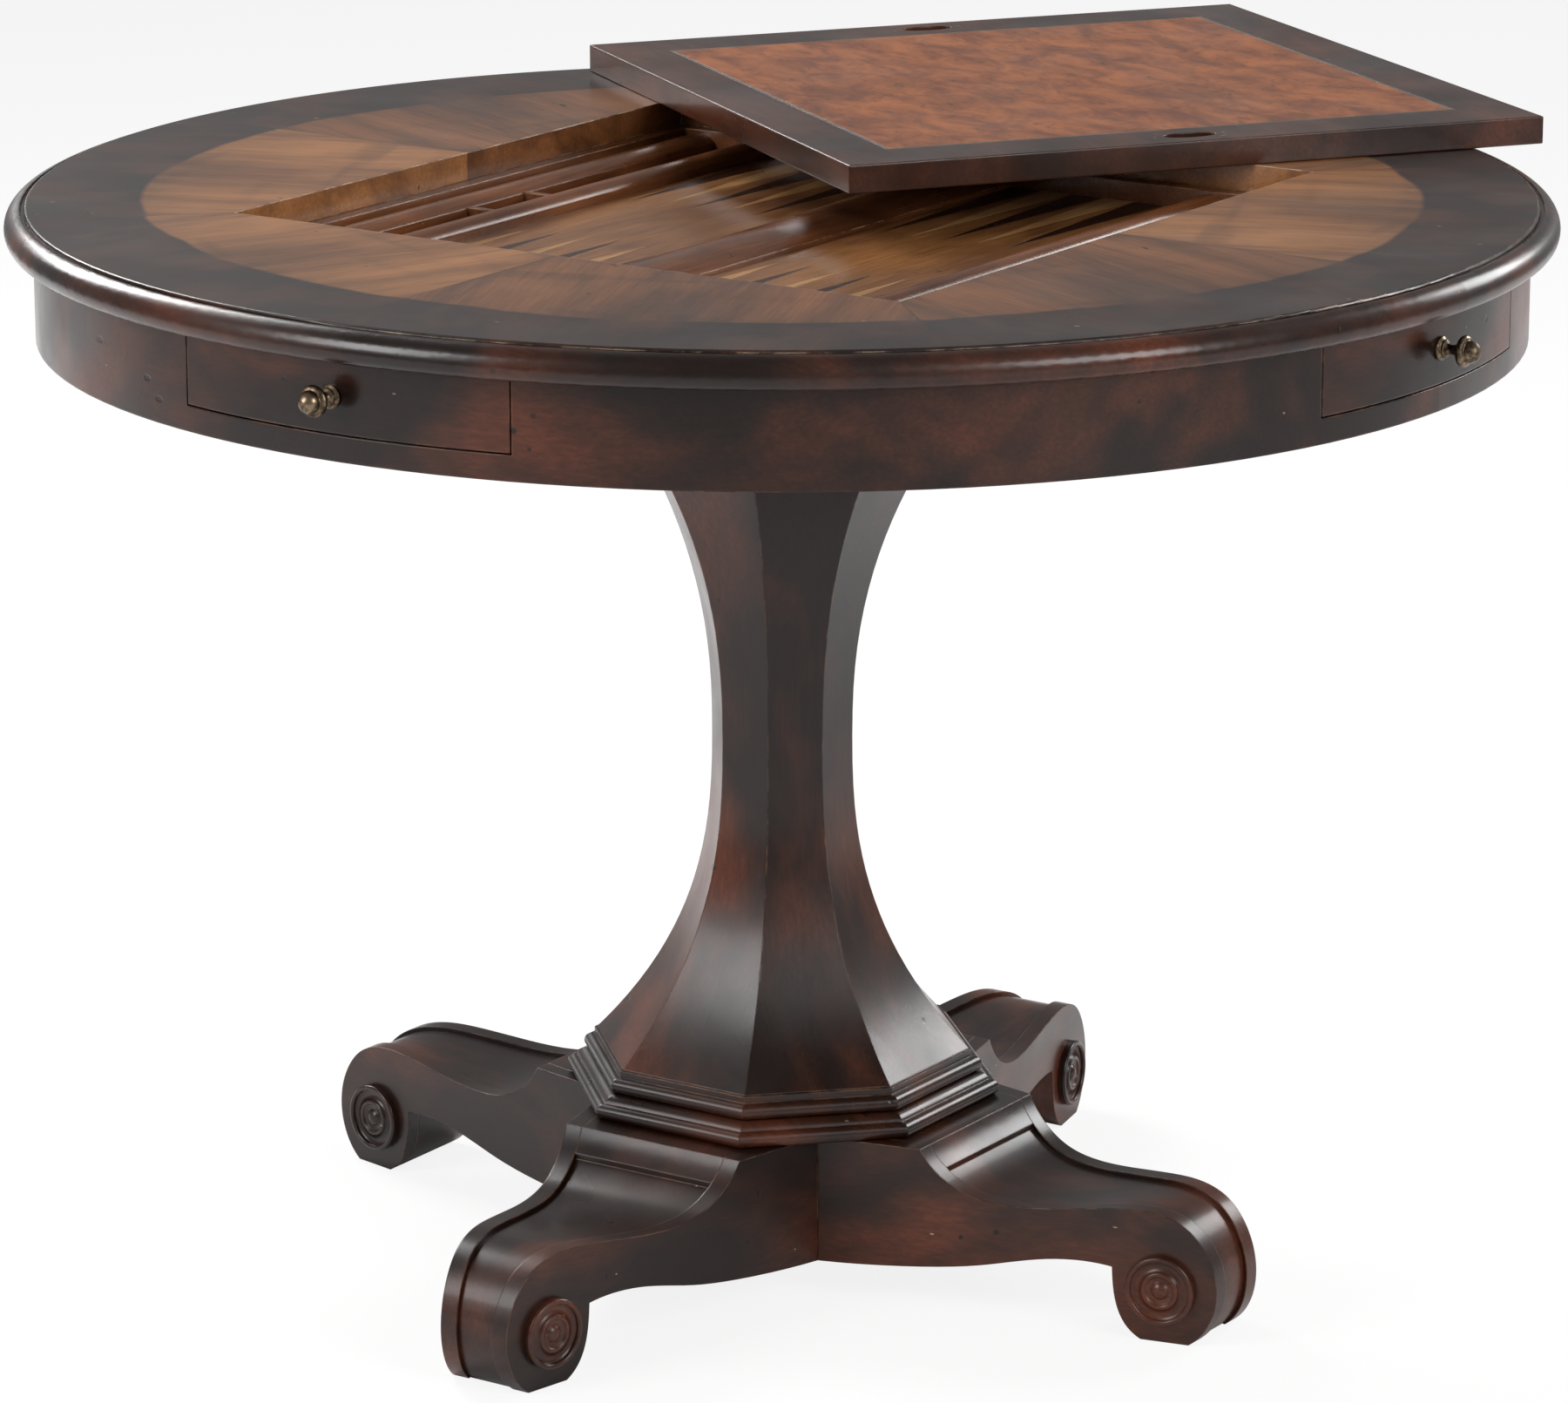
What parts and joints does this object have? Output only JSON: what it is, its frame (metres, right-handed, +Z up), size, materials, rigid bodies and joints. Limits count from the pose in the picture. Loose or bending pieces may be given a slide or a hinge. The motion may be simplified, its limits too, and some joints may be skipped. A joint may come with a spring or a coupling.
{
  "type": "gaming table",
  "caption": "Round pedestal gaming table with a lift-out square panel over a backgammon well, four curved drawers in the apron and four scrolled legs.",
  "frame": {"origin": "on the floor, on the axis of the pedestal", "axes": "+Z up; -Y out of the front drawer and along the front leg, +X along the right leg; the panel lies towards +Y"},
  "size_m": [1.086, 1.3025, 0.7822],
  "materials": {
    "dark_wood": "gloss",
    "top_veneer": "gloss",
    "well_wood": "gloss",
    "board_veneer": "satin",
    "points_dark": "satin",
    "points_light": "satin",
    "burl_veneer": "gloss",
    "stringing": "gloss",
    "plain_wood": "matte",
    "antique_brass": "satin",
    "antique_pewter": "satin",
    "zinc_steel": "satin"
  },
  "bodies": {
    "table": {"apron": "dark_wood", "board_left": "board_veneer", "board_right": "board_veneer", "centre_bar": "well_wood", "column_staves": "dark_wood", "drawer_runners": "plain_wood", "foot_rosettes": "dark_wood", "hub_block": "dark_wood", "inner_rail_left": "well_wood", "inner_rail_right": "well_wood", "leg_back": "dark_wood", "leg_back_cheeks": "dark_wood", "leg_front": "dark_wood", "leg_front_cheeks": "dark_wood", "leg_left": "dark_wood", "leg_left_cheeks": "dark_wood", "leg_right": "dark_wood", "leg_right_cheeks": "dark_wood", "lower_base_moulding": "dark_wood", "mounting_plate": "plain_wood", "outer_rail_left": "well_wood", "outer_rail_right": "well_wood", "panel_ledges": "well_wood", "plate_screws": "zinc_steel", "points_dark": "points_dark", "points_light": "points_light", "rim_moulding": "dark_wood", "tie_rod": "zinc_steel", "tie_rod_nuts": "zinc_steel", "tie_rod_washers": "zinc_steel", "top_slab": "top_veneer", "tray_dividers": "well_wood", "upper_base_moulding": "dark_wood", "well_floor": "plain_wood", "well_walls": "well_wood"},
    "drawer_back": {"drawer_back_bottom": "plain_wood", "drawer_back_box": "plain_wood", "drawer_back_front": "dark_wood", "drawer_back_knob": "antique_brass"},
    "drawer_front": {"drawer_front_bottom": "plain_wood", "drawer_front_box": "plain_wood", "drawer_front_front": "dark_wood", "drawer_front_knob": "antique_brass"},
    "drawer_left": {"drawer_left_bottom": "plain_wood", "drawer_left_box": "plain_wood", "drawer_left_front": "dark_wood", "drawer_left_knob": "antique_brass"},
    "drawer_right": {"drawer_right_bottom": "plain_wood", "drawer_right_box": "plain_wood", "drawer_right_front": "dark_wood", "drawer_right_knob": "antique_brass"},
    "panel": {"finger_rings": "antique_pewter", "panel_core": "plain_wood", "panel_field": "burl_veneer", "panel_frame": "dark_wood", "panel_stringing": "stringing"}
  },
  "joints": [
    {"name": "drawer_front_slide", "type": "slide", "parent": "table", "child": "drawer_front", "axis": [0, -1, 0], "range_m": [0, 0.15]},
    {"name": "drawer_right_slide", "type": "slide", "parent": "table", "child": "drawer_right", "axis": [1, 0, 0], "range_m": [0, 0.15]},
    {"name": "drawer_back_slide", "type": "slide", "parent": "table", "child": "drawer_back", "axis": [0, 1, 0], "range_m": [0, 0.15]},
    {"name": "drawer_left_slide", "type": "slide", "parent": "table", "child": "drawer_left", "axis": [-1, 0, 0], "range_m": [0, 0.15]},
    {"name": "panel_lift", "type": "slide", "parent": "table", "child": "panel", "axis": [0, 0, 1], "range_m": [0, 0.25]}
  ]
}
